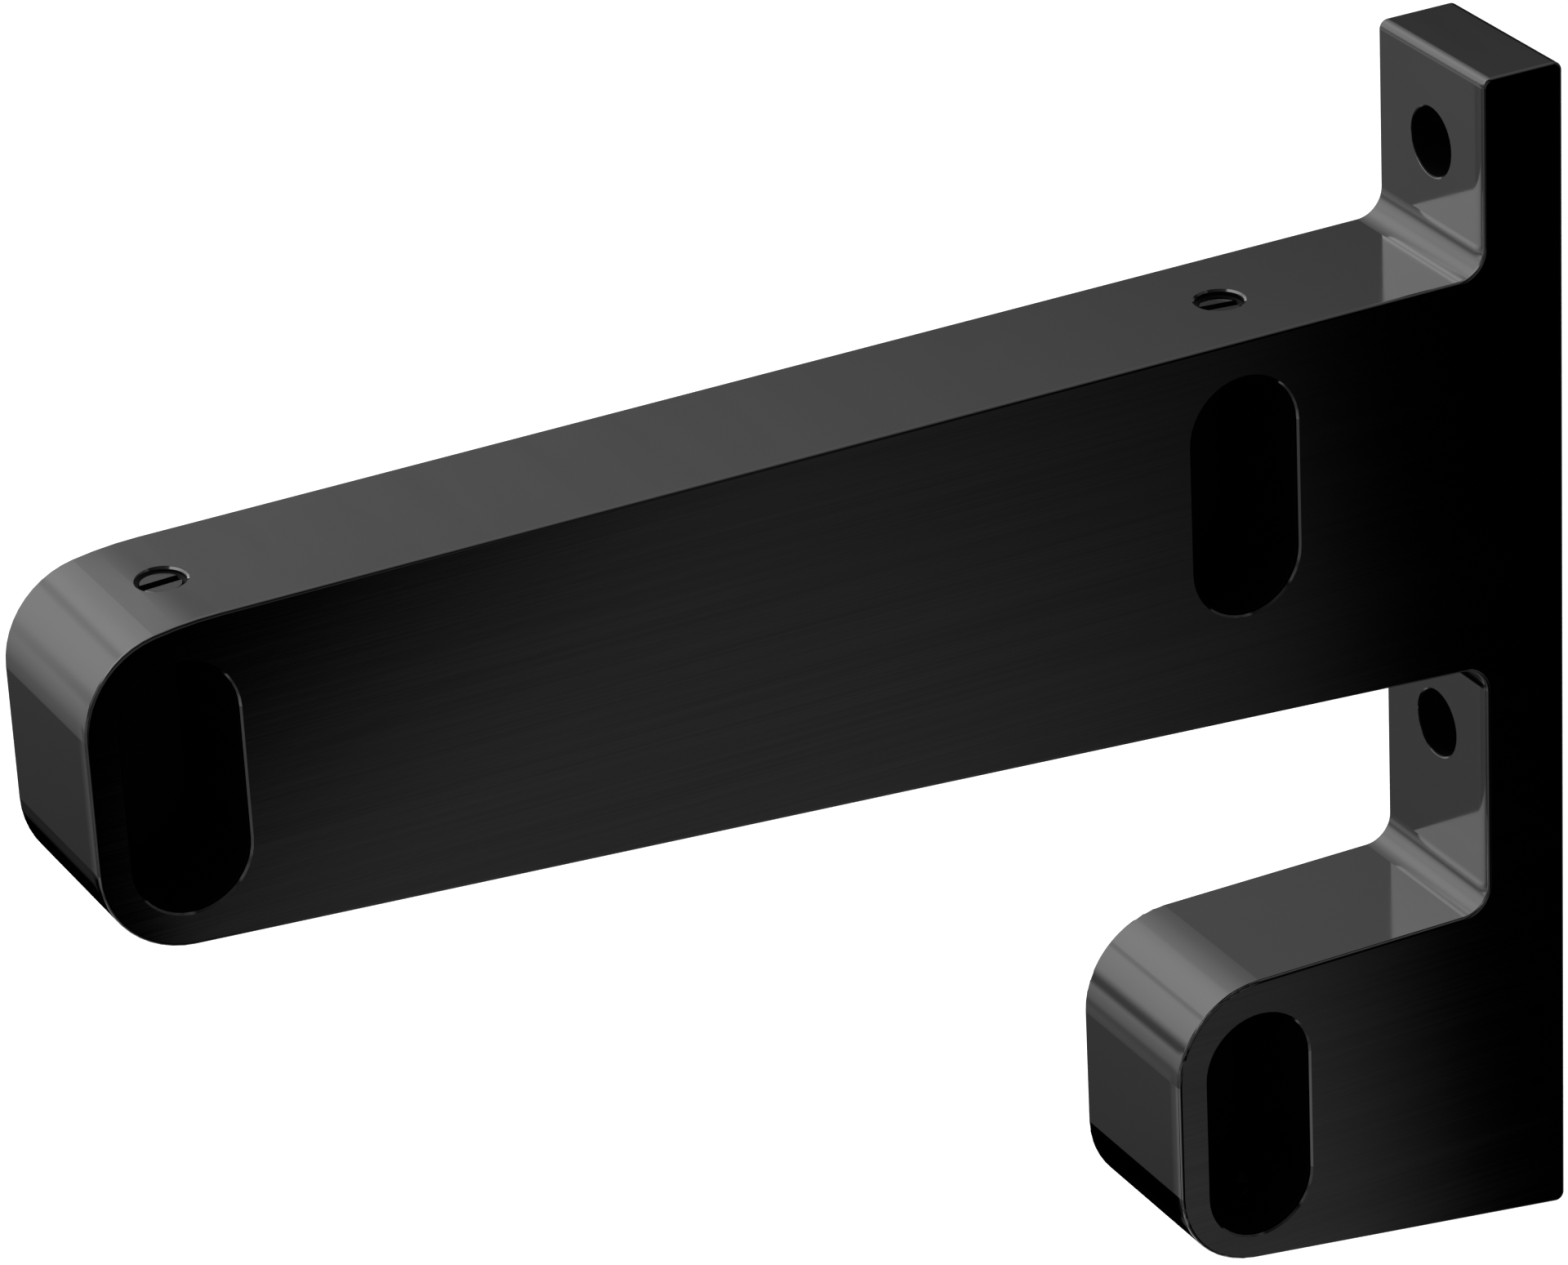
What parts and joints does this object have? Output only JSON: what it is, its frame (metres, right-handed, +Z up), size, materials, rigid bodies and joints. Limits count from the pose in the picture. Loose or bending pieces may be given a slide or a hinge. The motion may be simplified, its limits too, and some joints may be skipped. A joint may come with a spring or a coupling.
{
  "type": "curtain rod end bracket",
  "caption": "One-piece black wall bracket with a long and a short arm, each with long-round blind sockets in its side for the ends of flat oval curtain rods, clamped by grub screws.",
  "frame": {"origin": "on the wall face, midway between the two wall screw holes", "axes": "+X into the wall, so the arms reach out along -X; +Z up; the sockets open towards -Y"},
  "size_m": [0.165, 0.02, 0.1334],
  "materials": {
    "black_metal": "black, glossy along the profile and finely brushed on the side faces",
    "black_steel": "black oxide"
  },
  "bodies": {
    "root": {"bracket": "black_metal", "grub_screws": "black_steel"}
  },
  "joints": []
}
